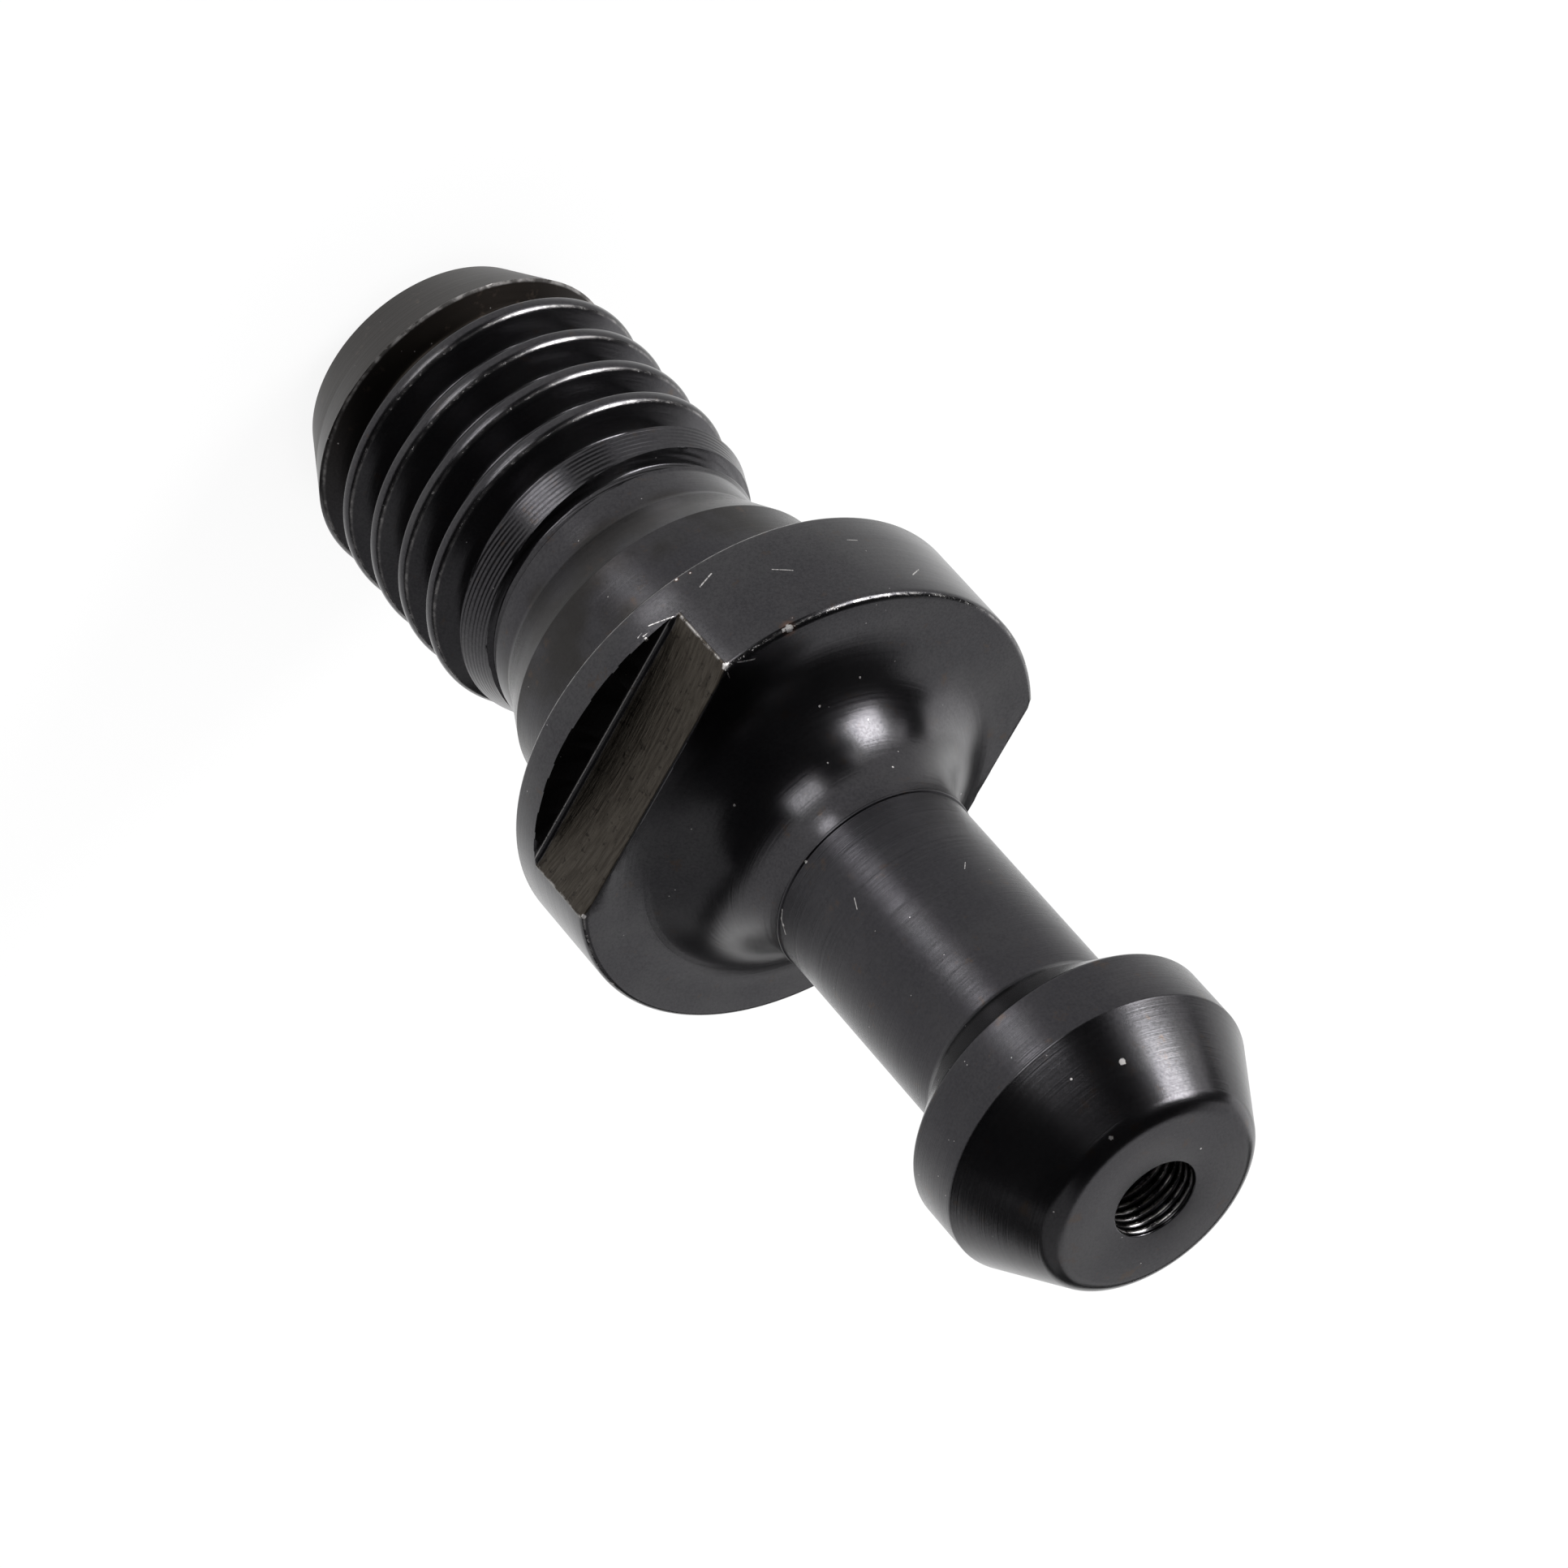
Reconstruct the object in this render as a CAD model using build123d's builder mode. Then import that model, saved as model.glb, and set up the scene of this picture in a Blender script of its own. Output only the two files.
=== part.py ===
"""Pull stud for a 7:24 taper tool holder: one piece, turned, threaded and milled.

It stands on its thread end with its head up. The origin is the centre of the
thread's end face, +Z runs up to the head and the two flats face +X and -X.
"""

import os
from math import ceil, cos, radians, tan

from build123d import *

# Shank below the seat face, with a chamfer at its tip
SHANK_LENGTH = 19.0
TIP_CHAMFER = 1.25
TIP_CHAMFER_ANGLE = 25.5

# Right-hand metric thread. Its groove ends on the side of the end angle, short
# of the pilot's cone by the end gap
THREAD_DIA = 11.6
THREAD_PITCH = 1.75
THREAD_CREST_FLAT = 0.36
THREAD_ROOT_FLAT = 0.293
THREAD_FLANK_ANGLE = 30.0
THREAD_END_GAP = 0.46
THREAD_END_ANGLE = 150.0
CREST_OVERCUT = 0.2

# Relief groove behind the thread, and the pilot that rises out of it
RELIEF_DEPTH = 0.8
RELIEF_FLOOR = 1.2
RELIEF_THREAD_ANGLE = 21.0
RELIEF_PILOT_ANGLE = 24.0
RELIEF_RADIUS = 0.5
PILOT_RISE = 0.8
PILOT_LENGTH = 4.0
PILOT_EDGE_RADIUS = 0.12

# Flange and its two flats
FLANGE_DIA = 16.5
FLANGE_THICKNESS = 4.0
FLANGE_FACE_ANGLE = 1.0
FLANGE_TOP_RADIUS = 0.25
FLANGE_SEAT_RADIUS = 0.1
FLAT_DEPTH = 1.55
FLAT_LIP = 1.17
FLAT_CORNER_RADIUS = 0.3

# Neck. Its fillet leaves a land on the flange's face, and a grinding step stands
# a little above the fillet
NECK_DIA = 7.0
FACE_LAND = 1.09
NECK_STEP = 0.06
NECK_STEP_GAP = 0.065

# Head, gripped under its 45 degree shoulder
GRIP_HEIGHT = 18.0
GRIP_ANGLE = 45.0
GRIP_FILLET = 0.5
SHOULDER_WIDTH = 1.78
HEAD_LAND = 1.95
LAND_RADIUS = 0.15
NOSE_LENGTH = 3.05
NOSE_INSET = 1.655
NOSE_RADIUS = 0.75

# Coolant hole from end to end
HOLE_DIA = 2.82

# Radii
thread_r = THREAD_DIA / 2
tip_r = thread_r - TIP_CHAMFER
relief_r = thread_r - RELIEF_DEPTH
pilot_r = relief_r + PILOT_RISE
flange_r = FLANGE_DIA / 2
flat_x = flange_r - FLAT_DEPTH
neck_r = NECK_DIA / 2
foot_r = neck_r + NECK_STEP
head_r = neck_r + SHOULDER_WIDTH
nose_r = head_r - NOSE_INSET
hole_r = HOLE_DIA / 2

# Heights of the shank above the thread's end face
tip_z = TIP_CHAMFER / tan(radians(TIP_CHAMFER_ANGLE))
seat_z = SHANK_LENGTH
pilot_z = seat_z - PILOT_LENGTH
relief_top_z = pilot_z - PILOT_RISE / tan(radians(RELIEF_PILOT_ANGLE))
relief_low_z = relief_top_z - RELIEF_FLOOR
thread_z = relief_low_z - RELIEF_DEPTH / tan(radians(RELIEF_THREAD_ANGLE))

# Heights of the flange's face and the neck. The neck's fillet takes the face up
# to the land, and reaches as far up the neck as it does along the face
face_angle = radians(FLANGE_FACE_ANGLE)
rim_z = seat_z + FLANGE_THICKNESS
foot_z = rim_z + (flange_r - foot_r) * tan(face_angle)
fillet_reach = (flange_r - foot_r) / cos(face_angle) - FACE_LAND
neck_fillet = fillet_reach / tan((radians(90) - face_angle) / 2)
step_z = foot_z + fillet_reach + NECK_STEP_GAP

# Heights of the head
grip_z = seat_z + GRIP_HEIGHT
under_z = grip_z - SHOULDER_WIDTH / tan(radians(GRIP_ANGLE))
land_z = grip_z + HEAD_LAND
top_z = land_z + NOSE_LENGTH

# The turned outline from the thread's end face to the head: radius, height and
# the radius of the rounding at each corner
outline = [
    (hole_r, 0, 0),
    (tip_r, 0, 0),
    (thread_r, tip_z, 0),
    (thread_r, thread_z, 0),
    (relief_r, relief_low_z, 0),
    (relief_r, relief_top_z, RELIEF_RADIUS),
    (pilot_r, pilot_z, PILOT_EDGE_RADIUS),
    (pilot_r, seat_z, 0),
    (flange_r, seat_z, FLANGE_SEAT_RADIUS),
    (flange_r, rim_z, FLANGE_TOP_RADIUS),
    (foot_r, foot_z, neck_fillet),
    (foot_r, step_z, 0),
    (neck_r, step_z, 0),
    (neck_r, under_z, GRIP_FILLET),
    (head_r, grip_z, LAND_RADIUS),
    (head_r, land_z, LAND_RADIUS),
    (nose_r, top_z, NOSE_RADIUS),
    (hole_r, top_z, 0),
]

# The thread groove's section: a V with a flat root that reaches past the crests
flank_slope = tan(radians(THREAD_FLANK_ANGLE))
groove_depth = (THREAD_PITCH - THREAD_CREST_FLAT - THREAD_ROOT_FLAT) / 2 / flank_slope
groove_r = thread_r - groove_depth
groove_end_z = relief_top_z - THREAD_END_GAP
groove_reach = groove_depth + CREST_OVERCUT
root_half = THREAD_ROOT_FLAT / 2
mouth_half = root_half + groove_reach * flank_slope

with BuildPart() as groove_turn:
    with BuildLine() as groove_path:
        Helix(pitch=THREAD_PITCH, height=THREAD_PITCH, radius=groove_r)
    with BuildSketch(Plane.XZ):
        with BuildLine():
            Polyline(
                (groove_r, -root_half),
                (groove_r + groove_reach, -mouth_half),
                (groove_r + groove_reach, mouth_half),
                (groove_r, root_half),
                close=True,
            )
        make_face()
    sweep(path=groove_path.wires()[0], is_frenet=True)

with BuildPart() as stud:
    # Turned body
    with BuildSketch(Plane.XZ):
        with BuildLine():
            turned = FilletPolyline(
                [(r, z) for r, z, _ in outline],
                radius=[rounding for _, _, rounding in outline[1:-1]],
            )
            Line(turned @ 1, turned @ 0)
        make_face()
    revolve(axis=Axis.Z)

    # Two spanner flats, milled from the head side down to a lip
    with BuildSketch(Plane.XZ):
        with Locations((flat_x, seat_z + FLAT_LIP)):
            cutter = Rectangle(flange_r, FLANGE_THICKNESS, align=Align.MIN)
            fillet(cutter.vertices().sort_by(Axis.Z)[:2].sort_by(Axis.X)[0], FLAT_CORNER_RADIUS)
        mirror(about=Plane.YZ)
    extrude(amount=flange_r, both=True, mode=Mode.SUBTRACT)

    # The thread's groove, one turn after the other from the relief past the tip
    turns = ceil((groove_end_z + mouth_half) / THREAD_PITCH)
    for turn in range(1, turns + 1):
        with Locations((0, 0, groove_end_z - turn * THREAD_PITCH)):
            add(groove_turn.part, rotation=(0, 0, THREAD_END_ANGLE), mode=Mode.SUBTRACT)

stud.part.label = "stud"

os.makedirs("parts", exist_ok=True)
export_step(stud.part, "parts/stud.step")
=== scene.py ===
"""Looks of a blackened steel pull stud, standing on its thread end on a pale table."""

import math

import bmesh
import bpy
from mathutils import Matrix, Vector


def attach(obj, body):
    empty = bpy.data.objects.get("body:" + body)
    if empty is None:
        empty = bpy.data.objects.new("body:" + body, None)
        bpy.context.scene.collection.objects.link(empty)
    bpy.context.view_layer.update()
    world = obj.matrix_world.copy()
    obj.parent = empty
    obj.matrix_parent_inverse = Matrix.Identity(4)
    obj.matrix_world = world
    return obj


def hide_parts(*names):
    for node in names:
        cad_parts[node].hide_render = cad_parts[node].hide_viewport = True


MM = 0.001
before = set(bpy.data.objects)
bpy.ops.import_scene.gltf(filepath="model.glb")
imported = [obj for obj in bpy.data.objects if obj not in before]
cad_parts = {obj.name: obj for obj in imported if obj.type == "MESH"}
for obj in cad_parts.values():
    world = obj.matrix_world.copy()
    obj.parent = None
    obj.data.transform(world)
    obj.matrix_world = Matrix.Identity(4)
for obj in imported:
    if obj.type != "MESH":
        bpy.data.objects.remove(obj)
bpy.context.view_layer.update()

# Camera: the photograph's viewing angle, head towards the lower right
AIM = Vector((0.056, 0.099, 21.602)) * MM
CAMERA_DISTANCE = 246.05 * MM
CAMERA_AZIMUTH = -29.381
CAMERA_ELEVATION = 36.441
CAMERA_LEAN = -138.584
LENS = 182.375
SENSOR = 36.0

# Sizes of the stud in mm, as in the part's source
HOLE_R = 1.41
TIP_R = 4.55
TIP_Z = 2.62
CREST_R = 5.8
ROOT_R = 4.85
PITCH = 1.75
CREST_WIDTH = 0.36
ROOT_HALF = 0.1465
FLANK_ANGLE = 30.0
FLANK_RISE = (PITCH - CREST_WIDTH) / 2 - ROOT_HALF
THREAD_Z = 9.92
RELIEF_R = 5.0
RELIEF_LOW_Z = 12.0
RELIEF_TOP_Z = 13.2
RELIEF_CORNER_R = 0.5
PILOT_ANGLE = 24.0
PILOT_R = 5.8
PILOT_Z = 15.0
SEAT_Z = 19.0
FLANGE_R = 8.25
LIP_Z = 20.17
LIP_CORNER_R = 0.3
FLAT_X = 6.7
FLAT_EDGE_R = 0.07
RIM_Z = 23.0
FOOT_R = 3.56
FOOT_Z = 23.082
NECK_FILLET_R = 3.664
STEP_Z = 26.747
STEP_RISE = 0.02
NECK_R = 3.5
UNDER_Z = 35.22
GRIP_R = 5.28
GRIP_Z = 37.0
LAND_Z = 38.95
NOSE_R = 3.625
TOP_Z = 42.0

# The face rises a little from the rim to the neck: by this much at this radius
FACE_R = 7.3
FACE_RISE = 0.016

# Rounding of each corner: its radius in mm and its steps
SHARP = (0, 0)
PILOT_ROUNDING = (0.12, 4)
SEAT_ROUNDING = (0.1, 4)
RIM_ROUNDING = (0.25, 6)
NECK_FILLET = (NECK_FILLET_R, 24)
STEP_ROUNDING = (0.03, 2)
UNDER_ROUNDING = (0.5, 7)
GRIP_ROUNDING = (0.15, 5)
NOSE_ROUNDING = (0.75, 10)
HOLE_ROUNDING = (0.05, 3)
ROOT_ROUNDING = (0.1, 3)
CREST_LOW_ROUNDING = (0.16, 4)
CREST_HIGH_ROUNDING = (0.32, 7)

# Height of the thread's groove on the side +X below the tip, and where it comes in and out
GROOVE_START_Z = -1.986
GROOVE_ENTRY_Z = 1.38
GROOVE_ENTRY_RISE = 0.85
GROOVE_END_Z = 12.743
GROOVE_FADE = 0.2

# Nicks, where the black is knocked off: place, radius and how coppery they look
NICKS = [
    ((5.06, -6.40, 22.93), 0.19, 1.0),
    ((5.20, -6.30, 22.90), 0.09, 0.0),
    ((6.31, -5.32, 19.12), 0.06, 1.0),
    ((6.00, -5.66, 19.20), 0.04, 1.0),
    ((6.68, -4.82, 22.90), 0.18, 0.1),
    ((6.66, 4.72, 22.93), 0.12, 0.1),
    ((7.30, -3.72, 20.15), 0.10, 0.0),
    ((4.86, -6.60, 22.70), 0.07, 0.3),
    ((-1.35, -8.13, 22.95), 0.06, 0.0),
    ((2.64, -3.70, 40.30), 0.15, 0.0),
    ((3.13, -2.00, 41.76), 0.10, 0.1),
    ((3.87, -2.72, 39.97), 0.05, 0.0),
    ((-0.60, -1.95, 42.00), 0.05, 0.0),
    ((2.90, -4.23, 23.68), 0.06, 0.0),
    ((1.65, -5.25, 23.45), 0.05, 0.0),
    ((4.56, -0.65, 24.13), 0.06, 0.2),
    ((2.68, -3.01, 24.91), 0.04, 0.0),
    ((0.86, -3.60, 25.70), 0.05, 0.0),
    ((3.30, -4.67, 10.30), 0.10, 0.0),
    ((7.10, 3.90, 23.02), 0.05, 0.3),
    ((3.46, -0.60, 26.78), 0.07, 0.0),
    ((3.07, 1.68, 26.95), 0.08, 0.0),
]

# Scratches: from, to and half width
SCRATCHES = [
    ((0.25, -8.25, 22.03), (-0.25, -8.24, 21.70), 0.018),
    ((6.04, -5.62, 19.86), (5.66, -6.00, 19.66), 0.020),
    ((6.46, -5.02, 22.98), (5.81, -5.24, 23.02), 0.026),
    ((6.62, -4.70, 23.00), (6.30, -4.40, 23.03), 0.014),
    ((6.50, -5.10, 22.96), (5.15, -6.40, 22.97), 0.030),
    ((7.35, -3.74, 20.02), (6.86, -4.40, 20.12), 0.022),
    ((7.20, -4.03, 19.86), (6.80, -4.67, 20.20), 0.016),
    ((7.42, -3.60, 19.92), (7.05, -4.20, 19.80), 0.014),
    ((3.15, 1.52, 26.80), (2.94, 1.90, 27.10), 0.024),
    ((3.28, 1.22, 26.78), (3.12, 1.58, 26.84), 0.020),
    ((1.20, -3.29, 30.40), (1.02, -3.35, 30.15), 0.012),
    ((3.40, -0.82, 29.40), (3.36, -0.98, 29.05), 0.012),
    ((2.20, 2.72, 29.60), (2.28, 2.66, 29.85), 0.012),
    ((4.40, -6.98, 20.60), (3.95, -7.24, 20.95), 0.014),
    ((1.60, -8.09, 20.20), (1.25, -8.15, 20.26), 0.012),
]

# Mesh: columns, turns of thread, the ring where they meet the body, and extra rows of points
COLUMNS = 192
THREAD_TURNS = 9
JOIN_Z = 13.46
LIP_ROW = 0.001
RIM_ROWS_Z = (21.3, 22.1)
HOLE_ROWS_Z = (38.0, 20.0, 0)
SHARP_ANGLE = math.radians(30)

# Colours of the finish
# Worn steel, and the painted highlight in the flats' lip corner
BARE_AND_HIGHLIGHT = (0.55, 0.53, 0.52, 1)
COPPER = (0.13, 0.075, 0.055, 1)
OXIDE_DARK = (0.040, 0.039, 0.042, 1)
OXIDE_PALE = (0.052, 0.051, 0.053, 1)
MOTTLE_PALE = (0.072, 0.070, 0.074, 1)
MOTTLE_DARK = (0.026, 0.025, 0.028, 1)
GROUND_BLACK = (0.026, 0.025, 0.029, 1)
MILLED_DARK = (0.034, 0.029, 0.024, 1)
MILLED_PALE = (0.056, 0.049, 0.041, 1)
SMUDGE = (0.012, 0.010, 0.009, 1)
# Painted shade: a darker tip cone, for the table it mirrors lying in shade round its foot
TIP_PAINTED_SHADE = (0.020, 0.017, 0.015, 1)
PILOT_STAIN = (0.022, 0.020, 0.017, 1)
BROWN_STAIN = (0.058, 0.044, 0.036, 1)

# Tool marks: distances between rings in mm
BORE_RING_PITCH = 0.28
RELIEF_RING_PITCH = 0.13

# Lamps: azimuth and elevation, distance, width and height in m, and radiance
LAMP_AIM = Vector((0, 0, 0.025))
LAMPS = {
    "key_box": (-109, 25, 0.7, 0.27, 0.29, 18.5),
    "key_skirt": (-111, 10, 0.7, 0.72, 0.18, 1.9),
    "low_strip": (-33, 8, 0.7, 0.36, 0.19, 6.8),
    "side_box": (-175, 7, 0.7, 0.42, 0.30, 1.7),
    "left_card": (84, 40, 0.8, 1.00, 0.80, 0.42),
    "back_card": (162, 34, 0.8, 1.00, 0.44, 1.1),
}
CEILING = (0, 90, 1.2, 1.2, 1.2, 3.2)
STUDIO_DARK = (0.05, 0.05, 0.053, 1)

# Cards of light on the table: azimuth, distance, length and width in m, and radiance
CARDS = {
    "front_card": (-31, 0.054, 0.022, 0.014, 9.0),
    "near_card": (-36, 0.0275, 0.005, 0.007, 5.5),
}
CARD_LIFT = 0.0005

# Table: radius in m, the colour that takes the shadow, and the share of plain white over it
TABLE_R = 1.6
PAPER = (0.9, 0.9, 0.9, 1)
WHITE = (1, 1, 1, 1)
WHITE_SHARE = 0.9


def direction(azimuth, elevation):
    """Unit vector towards an azimuth and elevation in degrees."""
    a, e = math.radians(azimuth), math.radians(elevation)
    return Vector((math.cos(e) * math.cos(a), math.cos(e) * math.sin(a), math.sin(e)))


def link(thing):
    bpy.context.scene.collection.objects.link(thing)
    return thing


def make_camera():
    """A long lens that looks down on the head, leaning so that the axis crosses the frame."""
    back = direction(CAMERA_AZIMUTH, CAMERA_ELEVATION)
    data = bpy.data.cameras.new("camera")
    data.lens = LENS
    data.sensor_width = SENSOR
    data.clip_start = 10 * MM
    data.clip_end = 5000 * MM
    camera = link(bpy.data.objects.new("camera", data))
    lean = Matrix.Rotation(math.radians(-CAMERA_LEAN), 4, "Z")
    turn = (-back).to_track_quat("-Z", "Y").to_matrix().to_4x4()
    camera.matrix_world = Matrix.Translation(AIM + back * CAMERA_DISTANCE) @ turn @ lean
    bpy.context.scene.camera = camera


def half_section(bm, corners):
    """A line in the plane y = 0 through corners of radius, height, rounding and its steps."""
    verts = [bm.verts.new((corner[0], 0, corner[1])) for corner in corners]
    for pair in zip(verts, verts[1:]):
        bm.edges.new(pair)
    for i, (r, z, rounding, steps) in enumerate(corners):
        if rounding:
            here = Vector((r, z))
            bend = (Vector(corners[i - 1][:2]) - here).angle(Vector(corners[i + 1][:2]) - here)
            bmesh.ops.bevel(
                bm, geom=[verts[i]], offset=rounding / math.tan(bend / 2), offset_type="OFFSET",
                segments=steps, profile=0.5, affect="VERTICES", material=-1,
            )


def repeat(bm, geom, angle, rise):
    """A copy of some geometry, turned round the axis and raised."""
    copy = bmesh.ops.duplicate(bm, geom=geom)["geom"]
    verts = [v for v in copy if isinstance(v, bmesh.types.BMVert)]
    bmesh.ops.rotate(bm, verts=verts, cent=(0, 0, 0), matrix=Matrix.Rotation(angle, 3, "Z"))
    bmesh.ops.translate(bm, verts=verts, vec=(0, 0, rise))
    return copy


def spin_section(bm, section, turns=1, pitch=0.0):
    """Spins a half section through a sixteenth of a turn, then doubles that up to whole turns."""
    before = {*bm.verts, *bm.edges, *bm.faces} - set(section)
    bmesh.ops.spin(
        bm, geom=section, axis=(0, 0, 1), cent=(0, 0, 0), angle=2 * math.pi / 16,
        steps=COLUMNS // 16, dvec=(0, 0, pitch / COLUMNS), use_merge=False,
    )
    turn = [part for part in (*bm.verts, *bm.edges, *bm.faces) if part not in before]
    for share in (1 / 16, 1 / 8, 1 / 4, 1 / 2):
        turn += repeat(bm, turn, 2 * math.pi * share, pitch * share)
    for i in range(1, turns):
        repeat(bm, turn, 0, pitch * i)


def shank_radius(z):
    """Radius of the turned blank behind the thread, from the tip to the pilot's cone."""
    if z < TIP_Z:
        return TIP_R + (CREST_R - TIP_R) * z / TIP_Z
    if z < THREAD_Z:
        return CREST_R
    if z < RELIEF_LOW_Z:
        return CREST_R + (RELIEF_R - CREST_R) * (z - THREAD_Z) / (RELIEF_LOW_Z - THREAD_Z)
    slope = math.radians(PILOT_ANGLE)
    start = RELIEF_TOP_Z - RELIEF_CORNER_R * math.tan(slope / 2)
    if z < start:
        return RELIEF_R
    if z < start + RELIEF_CORNER_R * math.sin(slope):
        return RELIEF_R + RELIEF_CORNER_R - math.sqrt(RELIEF_CORNER_R**2 - (z - start) ** 2)
    return RELIEF_R + (z - RELIEF_TOP_Z) * math.tan(slope)


def spin_thread(bm):
    """One pitch of the thread's outline, from root to root, spun up its helix past the relief."""
    low = GROOVE_START_Z + ROOT_HALF + FLANK_RISE
    high = low + CREST_WIDTH
    line = [
        (ROOT_R, GROOVE_START_Z, *SHARP),
        (ROOT_R, GROOVE_START_Z + ROOT_HALF, *ROOT_ROUNDING),
        (CREST_R, low, *CREST_LOW_ROUNDING),
        (CREST_R, high, *CREST_HIGH_ROUNDING),
        (ROOT_R, high + FLANK_RISE, *ROOT_ROUNDING),
        (ROOT_R, GROOVE_START_Z + PITCH, *SHARP),
    ]
    half_section(bm, line)

    # Short steps, so that the columns can follow the blank when they are trimmed
    long = [e for e in bm.edges if e.calc_length() > 0.5]
    bmesh.ops.subdivide_edges(bm, edges=long, cuts=7)
    wide = [e for e in bm.edges if 0.15 < e.calc_length() < 0.5]
    bmesh.ops.subdivide_edges(bm, edges=wide, cuts=2)
    spin_section(bm, bm.verts[:] + bm.edges[:], THREAD_TURNS, PITCH)
    bmesh.ops.remove_doubles(bm, verts=bm.verts[:], dist=0.001)


def groove_fade(groove):
    """1 where a groove at this height isn't cut yet or any more, and 0 at its full depth."""
    coming_in = 1 - (groove - GROOVE_ENTRY_Z) / GROOVE_ENTRY_RISE
    running_out = 1 + (groove - GROOVE_END_Z) / GROOVE_FADE
    return min(max(coming_in, running_out, 0), 1)


def heights_on_cuts(points):
    """New heights for the points of a column that come to lie where the blank's surface cuts it."""
    over = [r - shank_radius(z) for r, z in points]
    moved = {}
    for i in range(len(points) - 1):
        if over[i] * over[i + 1] < 0:
            share = over[i] / (over[i] - over[i + 1])
            z = points[i][1] + share * (points[i + 1][1] - points[i][1])
            moved[i if share < 0.5 else i + 1] = z
    for corner in (TIP_Z, THREAD_Z, RELIEF_LOW_Z):
        near = min(range(len(points)), key=lambda i: abs(points[i][1] - corner))
        if over[near] > -0.02:
            moved[near] = corner
    return moved


def trim_thread(bm):
    """Each column of the spun thread is turned down to the blank, with a point on each cut."""
    columns = {}
    for v in bm.verts:
        angle = math.atan2(v.co.y, v.co.x) % (2 * math.pi)
        column = round(angle / (2 * math.pi) * COLUMNS) % COLUMNS
        columns.setdefault(column, []).append(v)
    for column, verts in columns.items():
        angle = 2 * math.pi * column / COLUMNS
        verts.sort(key=lambda v: v.co.z)
        start = GROOVE_START_Z + PITCH * column / COLUMNS
        points = []
        for v in verts:
            r, z = math.hypot(v.co.x, v.co.y), v.co.z
            groove = start + PITCH * round((z - start) / PITCH)
            points.append((r + (CREST_R - r) * groove_fade(groove), z))
        moved = heights_on_cuts(points)
        for i, v in enumerate(verts):
            r, z = points[i]
            z = moved.get(i, z)
            r = shank_radius(z) if i in moved else min(r, shank_radius(z))
            v.co = (r * math.cos(angle), r * math.sin(angle), z)


def cut_square(bm, height, outer):
    """Cuts the spun thread square to the axis, with its edge points on the columns."""
    geom = bm.verts[:] + bm.edges[:] + bm.faces[:]
    bmesh.ops.bisect_plane(
        bm, geom=geom, dist=0.0005, plane_co=(0, 0, height), plane_no=(0, 0, 1 if outer else -1),
        clear_outer=True,
    )
    ring = [v for v in bm.verts if abs(v.co.z - height) < 0.001]
    for v in ring:
        r, angle = math.hypot(v.co.x, v.co.y), math.atan2(v.co.y, v.co.x)
        angle = round(angle / (2 * math.pi) * COLUMNS) * 2 * math.pi / COLUMNS
        v.co = (r * math.cos(angle), r * math.sin(angle), height)
    bmesh.ops.remove_doubles(bm, verts=ring, dist=0.004)


def spin_body(bm):
    """The turned body from the pilot's cone over flange, neck and head, and back down the hole.

    Its rim has rows of points where the flats' lip and rounded corner come to lie.
    """
    slope = math.tan(math.radians(PILOT_ANGLE))
    corner = [LIP_CORNER_R * (1 - math.cos(math.radians(15 * i))) for i in range(1, 7)]
    line = [
        (RELIEF_R + (JOIN_Z - RELIEF_TOP_Z) * slope, JOIN_Z, *SHARP),
        (PILOT_R, PILOT_Z, *PILOT_ROUNDING),
        (PILOT_R, SEAT_Z, *SHARP),
        (FLANGE_R, SEAT_Z, *SEAT_ROUNDING),
        (FLANGE_R, LIP_Z - 0.04, *SHARP),
        *((FLANGE_R, LIP_Z + rise, *SHARP) for rise in (0, LIP_ROW, *corner)),
        *((FLANGE_R, z, *SHARP) for z in RIM_ROWS_Z),
        (FLANGE_R, RIM_Z, *RIM_ROUNDING),
        (FACE_R, RIM_Z + FACE_RISE, *SHARP),
        (FOOT_R, FOOT_Z, *NECK_FILLET),
        (FOOT_R, STEP_Z, *STEP_ROUNDING),
        (NECK_R, STEP_Z + STEP_RISE, *SHARP),
        (NECK_R, UNDER_Z, *UNDER_ROUNDING),
        (GRIP_R, GRIP_Z, *GRIP_ROUNDING),
        (GRIP_R, LAND_Z, *GRIP_ROUNDING),
        (NOSE_R, TOP_Z, *NOSE_ROUNDING),
        (HOLE_R, TOP_Z, *HOLE_ROUNDING),
        *((HOLE_R, z, *SHARP) for z in HOLE_ROWS_Z),
        (TIP_R, 0, *SHARP),
    ]
    before = set(bm.verts)
    half_section(bm, line)
    verts = [v for v in bm.verts if v not in before]
    edges = {e for v in verts for e in v.link_edges}
    spin_section(bm, verts + list(edges))


def mill_flats(bm):
    """Brings the rim between lip and face in to the two flats, each with its corner and edge."""
    low, high = LIP_Z + LIP_CORNER_R, RIM_Z - FLAT_EDGE_R
    for v in bm.verts:
        x, z = abs(v.co.x), v.co.z
        if x < FLAT_X - FLAT_EDGE_R or not LIP_Z + LIP_ROW / 2 < z < RIM_Z + 0.1:
            continue
        wall = FLAT_X
        if z < low:
            wall += LIP_CORNER_R - math.sqrt(LIP_CORNER_R**2 - (low - z) ** 2)
        elif z > high:
            wall += math.sqrt(FLAT_EDGE_R**2 - min(z - high, FLAT_EDGE_R) ** 2) - FLAT_EDGE_R
        if x > wall:
            v.co.x *= wall / x
            v.co.y *= wall / x


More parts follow.
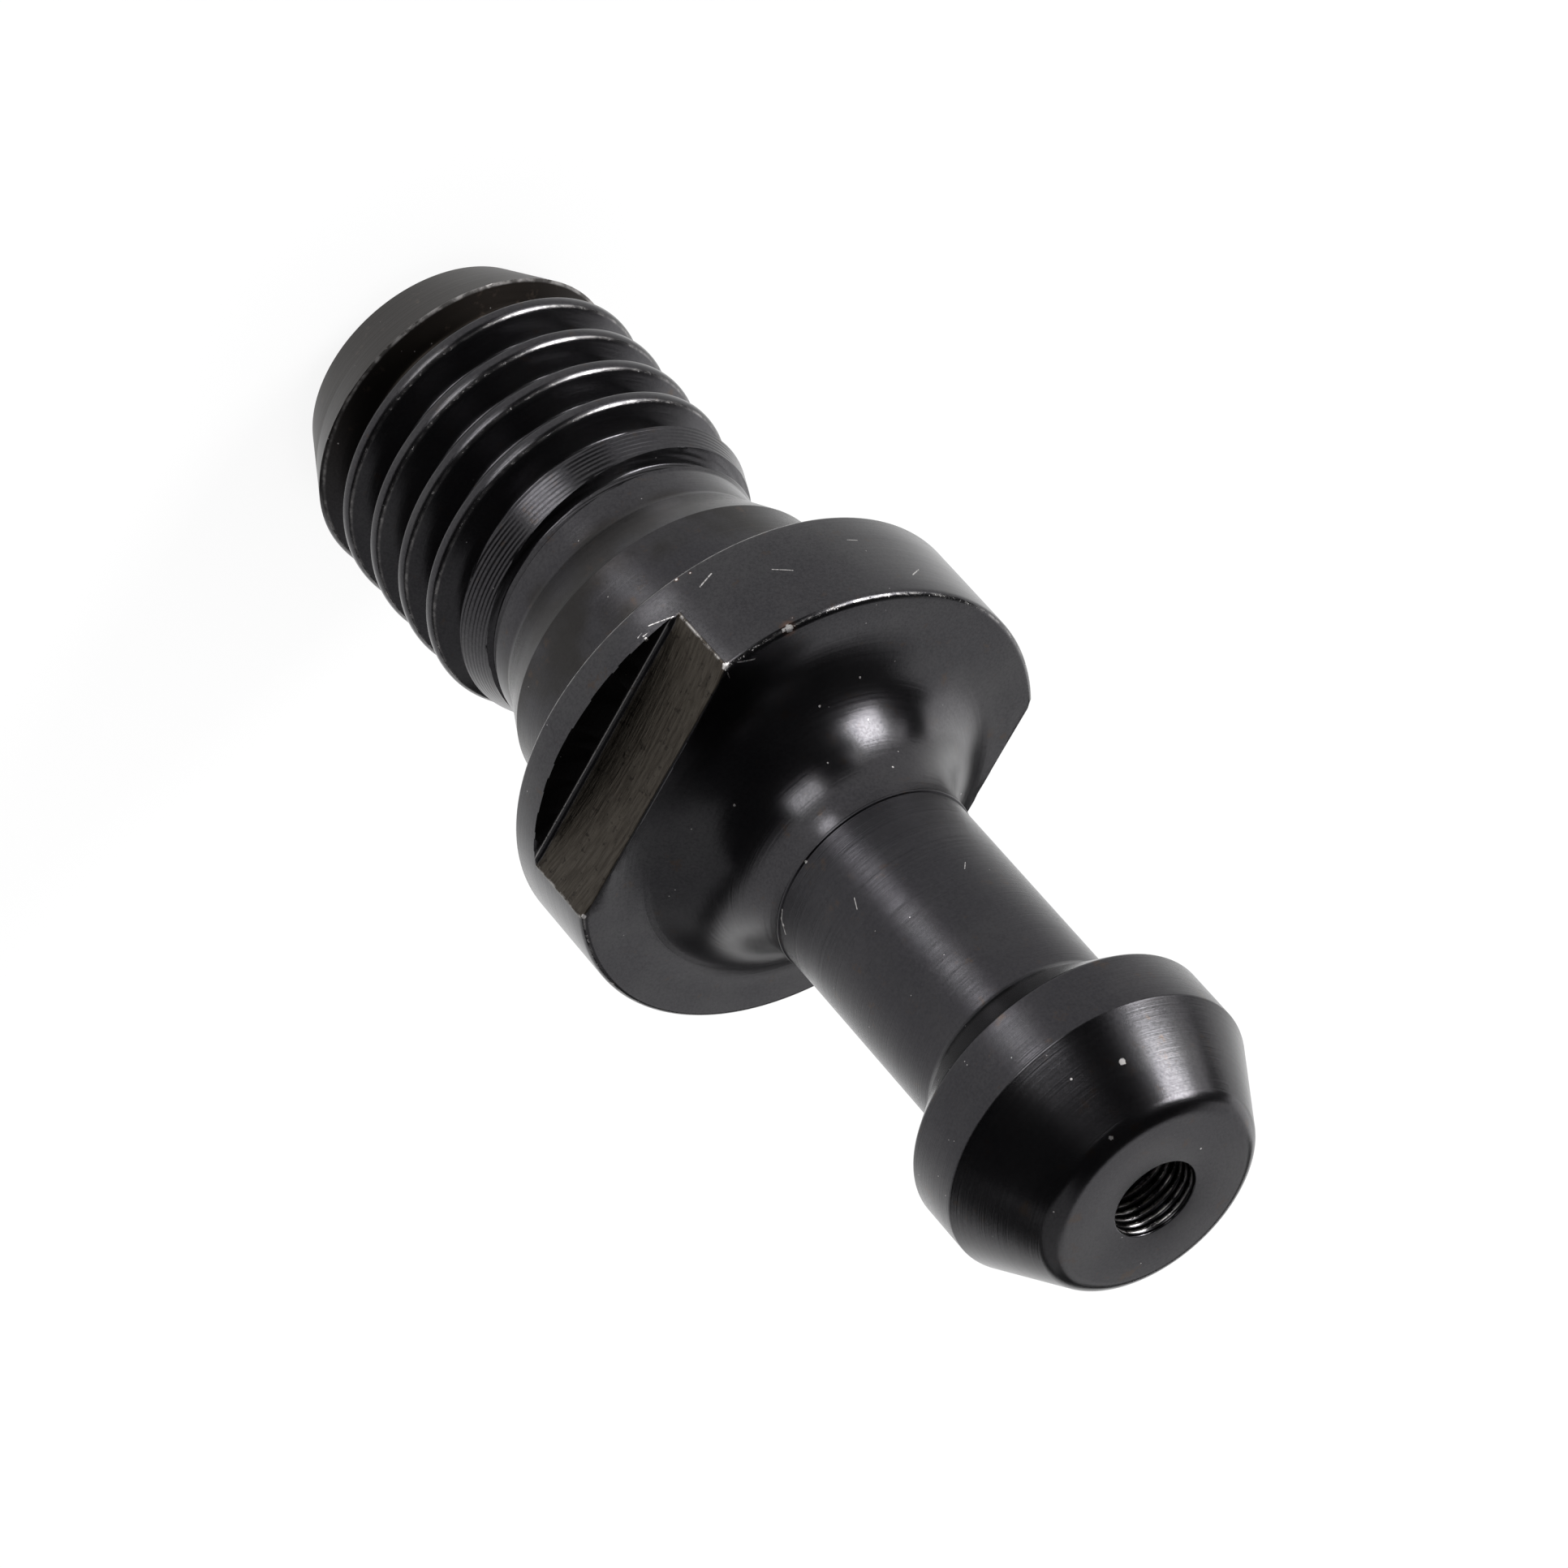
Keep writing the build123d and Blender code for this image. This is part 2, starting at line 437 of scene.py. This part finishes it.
def make_stud():
    """The whole stud as one closed mesh: spun thread, turned body and milled flats."""
    bm = bmesh.new()
    spin_thread(bm)
    trim_thread(bm)
    cut_square(bm, JOIN_Z, True)
    cut_square(bm, 0, False)
    spin_body(bm)
    bmesh.ops.remove_doubles(bm, verts=bm.verts[:], dist=0.002)
    mill_flats(bm)
    bmesh.ops.dissolve_degenerate(bm, dist=0.0002, edges=bm.edges[:])
    bmesh.ops.recalc_face_normals(bm, faces=bm.faces[:])
    for face in bm.faces:
        face.smooth = True
    for edge in bm.edges:
        edge.smooth = edge.calc_face_angle(0) < SHARP_ANGLE
    bmesh.ops.scale(bm, vec=(MM, MM, MM), verts=bm.verts[:])
    mesh = bpy.data.meshes.new("stud_body")
    bm.to_mesh(mesh)
    bm.free()
    stud = link(bpy.data.objects.new("stud_body", mesh))
    normals = stud.modifiers.new("normals", "WEIGHTED_NORMAL")
    normals.keep_sharp = True
    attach(stud, "root")
    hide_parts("stud")
    return stud


class Value:
    """A number that varies over the surface. Sums on it add Math nodes."""

    def __init__(self, finish, socket):
        self.finish, self.socket = finish, socket

    def math(self, operation, *others):
        values = {0: self.socket}
        values.update({i + 1: other for i, other in enumerate(others)})
        node = self.finish.node("Math", {"operation": operation}, values)
        return Value(self.finish, node.outputs[0])

    def reflected(self, operation, other):
        node = self.finish.node("Math", {"operation": operation}, {0: other, 1: self.socket})
        return Value(self.finish, node.outputs[0])

    def __add__(self, other):
        return self.math("ADD", other)

    def __radd__(self, other):
        return self.math("ADD", other)

    def __sub__(self, other):
        return self.math("SUBTRACT", other)

    def __rsub__(self, other):
        return self.reflected("SUBTRACT", other)

    def __mul__(self, other):
        return self.math("MULTIPLY", other)

    def __rmul__(self, other):
        return self.math("MULTIPLY", other)

    def __truediv__(self, other):
        return self.math("DIVIDE", other)

    def __abs__(self):
        return self.math("ABSOLUTE")

    def most(self, other):
        return self.math("MAXIMUM", other)

    def least(self, other):
        return self.math("MINIMUM", other)

    def ramp(self, low, high, start=0.0, end=1.0):
        """Goes from start to end as the value goes from low to high, and is level beyond them."""
        values = {"Value": self.socket}
        values.update({"From Min": low, "From Max": high, "To Min": start, "To Max": end})
        node = self.finish.node("MapRange", {"interpolation_type": "SMOOTHSTEP"}, values)
        return Value(self.finish, node.outputs["Result"])

    def near(self, place, width):
        """1 at a place and 0 from a width away on either side."""
        return abs(self - place).ramp(0, width, 1, 0)


class Finish:
    """A node material, with the stud's own coordinates in mm."""

    def __init__(self, name):
        self.material = bpy.data.materials.new(name)
        self.material.use_nodes = True
        self.tree = self.material.node_tree
        self.shader = self.tree.nodes["Principled BSDF"]
        self.output = self.tree.nodes["Material Output"]

    def node(self, kind, settings=None, values=None):
        node = self.tree.nodes.new("ShaderNode" + kind)
        for name, setting in (settings or {}).items():
            setattr(node, name, setting)
        for name, value in (values or {}).items():
            self.plug(node.inputs[name], value)
        return node

    def plug(self, socket, value):
        value = value.socket if isinstance(value, Value) else value
        if isinstance(value, bpy.types.NodeSocket):
            self.tree.links.new(value, socket)
        else:
            socket.default_value = value

    def place(self):
        """Position in mm as a vector, with its three parts, radius and angle round the axis."""
        metres = self.node("TexCoord").outputs["Object"]
        scaled = self.node("VectorMath", {"operation": "SCALE"}, {0: metres, "Scale": 1 / MM})
        vector = scaled.outputs[0]
        parts = self.node("SeparateXYZ", None, {0: vector}).outputs
        x, y, z = (Value(self, part) for part in parts)
        radius = (x * x + y * y).math("SQRT")
        return vector, x, y, z, radius, y.math("ARCTAN2", x)

    def noise(self, vector, scale, detail=2.0, roughness=0.5):
        values = {"Vector": vector, "Scale": scale, "Detail": detail, "Roughness": roughness}
        return Value(self, self.node("TexNoise", None, values).outputs["Fac"])

    def combine(self, x, y, z):
        return self.node("CombineXYZ", None, {0: x, 1: y, 2: z}).outputs[0]

    def mix(self, share, first, second):
        """One colour over another, by a share of the second."""
        node = self.node("Mix", {"data_type": "RGBA"}, {0: share, 6: first, 7: second})
        return node.outputs[2]

    def distance(self, vector, point):
        node = self.node("VectorMath", {"operation": "DISTANCE"}, {0: vector, 1: point})
        return Value(self, node.outputs["Value"])

    def scratch(self, vector, start, end, half_width):
        """1 along a straight scratch between two points, and 0 beside it."""
        run = Vector(end) - Vector(start)
        away = self.node("VectorMath", {"operation": "SUBTRACT"}, {0: vector, 1: start}).outputs[0]
        dot = self.node("VectorMath", {"operation": "DOT_PRODUCT"}, {0: away, 1: run})
        share = Value(self, dot.outputs["Value"]) * (1 / run.length_squared)
        share = share.most(0.0).least(1.0)
        foot = self.node("VectorMath", {"operation": "SCALE"}, {0: run, "Scale": share}).outputs[0]
        return self.distance(away, foot).ramp(half_width * 0.5, half_width * 1.6, 1, 0)

    def specks(self, vector, scale, share, size):
        """Tiny round specks, in a share of the cells of a fine grid."""
        cells = self.node("TexVoronoi", None, {"Vector": vector, "Scale": scale}).outputs
        draw = Value(self, self.node("SeparateColor", None, {0: cells["Color"]}).outputs[0])
        speck = Value(self, cells["Distance"]).ramp(size * 0.6, size, 1, 0)
        return speck * draw.ramp(1 - share, 1.001 - share)


class BlackenedSteel(Finish):
    """Oiled black oxide over turned and milled steel, worn bright on its edges."""

    def __init__(self):
        super().__init__("blackened_steel")
        self.vector, self.x, self.y, self.z, self.radius, self.angle = self.place()
        self.find_areas()
        self.find_thread()
        self.find_marks()
        bare_and_highlight, copper = self.worn()
        self.plug(self.shader.inputs["Base Color"], self.colour(bare_and_highlight, copper))
        self.shader.inputs["Metallic"].default_value = 1.0
        self.plug(self.shader.inputs["Roughness"], self.roughness(bare_and_highlight))
        height = self.height(bare_and_highlight) * MM
        bump = self.node("Bump", None, {"Strength": 1.0, "Distance": 1.0, "Height": height})
        self.plug(self.shader.inputs["Normal"], bump.outputs[0])

    def find_areas(self):
        """Masks of the flats, of what is ground, and of the turned relief."""
        x, z, radius = self.x, self.z, self.radius
        self.on_flat = abs(abs(x) - FLAT_X).ramp(0.02, 0.05, 1, 0)
        self.on_flat = self.on_flat * z.ramp(LIP_Z, LIP_Z + 0.1) * z.ramp(RIM_Z, RIM_Z + 0.05, 1, 0)
        on_neck = z.ramp(STEP_Z - 0.1, STEP_Z) * z.ramp(UNDER_Z, UNDER_Z + 0.2, 1, 0)
        on_land = z.ramp(GRIP_Z - 0.1, GRIP_Z + 0.1) * z.ramp(LAND_Z - 0.1, LAND_Z + 0.1, 1, 0)
        self.on_pilot = z.ramp(12.6, 13.2) * z.ramp(SEAT_Z - 0.1, SEAT_Z, 1, 0)
        ground = on_neck.most(on_land * 0.8).most(self.on_pilot * 0.7)
        self.ground = ground * radius.ramp(1.6, 1.8)
        above = z.ramp(THREAD_Z + 0.1, THREAD_Z + 0.4)
        self.on_relief = above * z.ramp(RELIEF_LOW_Z - 0.3, RELIEF_LOW_Z, 1, 0)

    def find_thread(self):
        """Masks of the tip, where no groove is cut, and of the crest's edge towards the head."""
        climb = self.z - GROOVE_START_Z - self.angle * (PITCH / (2 * math.pi))
        above_groove = (climb / PITCH).math("FLOORED_MODULO", 1.0) * PITCH
        groove = self.z - above_groove
        self.on_tip = groove.ramp(GROOVE_ENTRY_Z, GROOVE_ENTRY_Z + 0.5, 1, 0)
        crest = (TIP_R + self.z * ((CREST_R - TIP_R) / TIP_Z)).least(CREST_R)
        on_crest = self.z.ramp(10.6, 11.2, 1, 0) * (self.radius - crest).ramp(-0.16, -0.07)
        slope = math.tan(math.radians(FLANK_ANGLE))
        edge = ROOT_HALF + FLANK_RISE + CREST_WIDTH + (CREST_R - self.radius) * slope
        cut = groove.ramp(GROOVE_ENTRY_Z - 1.4, GROOVE_ENTRY_Z - 0.9)
        self.crest_edge = abs(above_groove - edge).ramp(0, 0.055, 1, 0) * on_crest * cut

    def find_marks(self):
        """Noises of turning rings, milling rows, grain, wear and stain, and the hole's ridges."""
        rings = self.combine(self.radius, 0.0, self.z)
        self.fine = self.noise(rings, 9.0, 3.0, 0.65)
        self.hair = self.noise(rings, 45.0, 2.0, 0.6)
        self.coarse = self.noise(rings, 2.2, 2.0)
        rows = self.combine(self.x * 0.1, self.y * 0.1, self.z + self.y * self.y * 0.02)
        self.rows = self.noise(rows, 9.0, 3.0, 0.65)
        self.grain = self.noise(self.vector, 30.0, 3.0, 0.6)
        self.wear = self.noise(self.vector, 2.6, 4.0, 0.6)
        self.nicked = self.noise(self.vector, 9.0, 3.0, 0.7).ramp(0.60, 0.66)
        self.stain = self.noise(self.vector, 0.35, 3.0, 0.55)
        self.ragged = self.noise(self.vector, 14.0, 3.0, 0.7)
        self.bore_rings = (self.z * (2 * math.pi / BORE_RING_PITCH)).math("SINE")
        self.bore_rings = self.bore_rings * self.radius.ramp(HOLE_R + 0.02, HOLE_R + 0.1, 1, 0)

    def worn(self):
        """Where worn steel shows, with a painted highlight along the flats' lip corner, and where
        it looks coppery.
        """
        x, z, radius, wear = self.x, self.z, self.radius, self.wear
        rim_edge = z.near(RIM_Z - 0.06, 0.07) * radius.near(FLANGE_R - 0.06, 0.08)
        rear_edge = z.near(SEAT_Z + 0.05, 0.06) * radius.near(FLANGE_R - 0.04, 0.08)
        # Painted highlight: a bright line in the concave corner between each flat and its lip
        lip_corner_highlight = z.near(LIP_Z + 0.03, 0.025) * abs(x).near(FLAT_X + 0.17, 0.04)
        flat_side = abs(abs(x) - FLAT_X).ramp(0, 0.05, 1, 0) * radius.near(FLANGE_R, 0.05)
        bore_ridges = self.bore_rings.ramp(0.0, 0.7) * z.ramp(38.5, 40.0)
        bare_and_highlight = self.crest_edge * wear.ramp(0.40, 0.66, 0.14, 0.6)
        bare_and_highlight = bare_and_highlight.most(rim_edge * wear.ramp(0.45, 0.62, 0.0, 0.35)).most(rim_edge * self.nicked)
        bare_and_highlight = bare_and_highlight.most(rear_edge * wear.ramp(0.35, 0.6, 0.1, 0.5)).most(lip_corner_highlight * 0.8)
        bare_and_highlight = bare_and_highlight.most(flat_side * z.ramp(LIP_Z, LIP_Z + 0.2) * wear.ramp(0.45, 0.6, 0.0, 0.5))
        bare_and_highlight = bare_and_highlight.most(bore_ridges * wear.ramp(0.35, 0.6, 0.1, 1.0))
        copper = None
        for place, size, warmth in NICKS:
            away = self.distance(self.vector, place)
            bare_and_highlight = bare_and_highlight.most((away + self.ragged * size * 0.9).ramp(size, size * 1.25, 1, 0))
            if warmth:
                halo = (away + self.ragged * size).ramp(size * 1.1, size * 2.3, warmth * 0.6, 0)
                copper = halo if copper is None else copper.most(halo)
        broken = self.ragged.ramp(0.35, 0.55, 0.25, 0.9)
        for start, end, half_width in SCRATCHES:
            bare_and_highlight = bare_and_highlight.most(self.scratch(self.vector, start, end, half_width) * broken)
        bare_and_highlight = bare_and_highlight.most(self.specks(self.vector, 1.1, 0.2, 0.035) * 0.8)
        return bare_and_highlight.most(self.specks(self.vector, 2.3, 0.15, 0.06) * 0.45), copper

    def colour(self, bare_and_highlight, copper):
        """The oxide's blacks one over another, with painted shade on the tip cone, and worn steel
        on top, which holds a painted highlight in the flats' lip corner too.
        """
        mottle = self.noise(self.vector, 11.0, 4.0, 0.7)
        smudge = self.noise(self.vector, 3.0, 4.0, 0.7).ramp(0.56, 0.68) * self.on_flat
        patches = self.noise(self.vector, 0.45, 2.0, 0.5).ramp(0.36, 0.60) * self.on_pilot
        brown = self.noise(self.vector, 1.3, 4.0, 0.7).ramp(0.60, 0.72) * (1 - self.on_flat)
        milled = self.mix(self.rows.ramp(0.35, 0.65), MILLED_DARK, MILLED_PALE)
        oxide = self.mix(self.stain.ramp(0.35, 0.7), OXIDE_DARK, OXIDE_PALE)
        for share, over in (
            (mottle.ramp(0.42, 0.66) * 0.3, MOTTLE_PALE),
            (mottle.ramp(0.34, 0.50, 1, 0) * 0.35, MOTTLE_DARK),
            (self.ground * 0.35, GROUND_BLACK),
            (self.on_flat, milled),
            (smudge * 0.75, SMUDGE),
            # painted shade on the tip cone
            (self.on_tip, TIP_PAINTED_SHADE),
            (patches * 0.6, PILOT_STAIN),
            (brown * 0.7, BROWN_STAIN),
            (copper, COPPER),
            # worn steel, with the painted highlight in the lip corner
            (bare_and_highlight, BARE_AND_HIGHLIGHT),
        ):
            oxide = self.mix(share, oxide, over)
        return oxide

    def roughness(self, bare_and_highlight):
        rough = 0.15 + 0.08 * self.stain + 0.07 * self.fine
        return rough + self.on_flat * 0.16 + bare_and_highlight * 0.12 + self.on_tip * 0.2

    def height(self, bare_and_highlight):
        """Height of the tool marks and grain above the smooth metal, in mm."""
        turned = self.fine * 0.0035 + self.coarse * 0.004
        turned = turned + self.hair * (0.0012 + 0.006 * self.ground)
        relief_rings = (self.z * (2 * math.pi / RELIEF_RING_PITCH) + self.coarse * 5.0).math("SINE")
        height = (1 - self.on_flat) * turned + self.on_flat * self.rows * 0.022
        height = height + relief_rings * self.on_relief * 0.0022 + self.grain * 0.0012
        return height + self.bore_rings * 0.02 - bare_and_highlight * self.nicked * 0.02


def pale_table():
    """White table top that stays white to the camera and in reflections, with a soft shadow."""
    top = Finish("pale_table")
    path = top.node("LightPath").outputs
    seen = Value(top, path["Is Camera Ray"]).most(Value(top, path["Is Glossy Ray"]))
    seen = seen.most(Value(top, path["Is Transmission Ray"]))
    top.shader.inputs["Base Color"].default_value = PAPER
    top.shader.inputs["Roughness"].default_value = 0.9
    top.shader.inputs["Specular IOR Level"].default_value = 0.0
    white = top.node("Emission", None, {"Color": WHITE, "Strength": 1.0})
    shares = {0: seen * WHITE_SHARE, 1: top.shader.outputs[0], 2: white.outputs[0]}
    mixed = top.node("MixShader", None, shares)
    top.plug(top.output.inputs["Surface"], mixed.outputs[0])
    bm = bmesh.new()
    bmesh.ops.create_circle(bm, cap_ends=True, segments=96, radius=TABLE_R)
    mesh = bpy.data.meshes.new("table_top")
    bm.to_mesh(mesh)
    bm.free()
    table = link(bpy.data.objects.new("table_top", mesh))
    table.data.materials.append(top.material)


def soft_lamp(name, azimuth, elevation, distance, width, height, radiance):
    """A rectangular soft lamp that faces the stud, as bright per area as its radiance says."""
    data = bpy.data.lights.new(name, "AREA")
    data.shape = "RECTANGLE"
    data.size, data.size_y = width, height
    data.energy = radiance * math.pi * width * height
    lamp = link(bpy.data.objects.new(name, data))
    away = direction(azimuth, elevation)
    turn = away.to_track_quat("Z", "Y").to_matrix().to_4x4()
    lamp.matrix_world = Matrix.Translation(LAMP_AIM + away * distance) @ turn
    return lamp


def low_card(name, azimuth, reach, length, width, radiance):
    """A small card of light that lies face up on the table, out of the camera's sight."""
    card = soft_lamp(name, azimuth, 0, reach, length, width, radiance)
    turn = Matrix.Rotation(math.radians(azimuth), 4, "Z") @ Matrix.Rotation(math.pi, 4, "X")
    place = direction(azimuth, 0) * reach + Vector((0, 0, CARD_LIFT))
    card.matrix_world = Matrix.Translation(place) @ turn
    card.visible_camera = False


def light_studio():
    """Soft boxes and pale cards round the stud, and a ceiling that the steel doesn't mirror."""
    world = bpy.data.worlds.new("studio")
    bpy.context.scene.world = world
    world.use_nodes = True
    background = world.node_tree.nodes["Background"]
    background.inputs["Color"].default_value = STUDIO_DARK
    background.inputs["Strength"].default_value = 1.0
    for name, lamp in LAMPS.items():
        soft_lamp(name, *lamp)
    ceiling = soft_lamp("ceiling_fill", *CEILING)
    ceiling.visible_glossy = False
    for name, card in CARDS.items():
        low_card(name, *card)


make_camera()
stud = make_stud()
stud.data.materials.append(BlackenedSteel().material)
pale_table()
light_studio()
bpy.context.scene.view_settings.view_transform = "Standard"
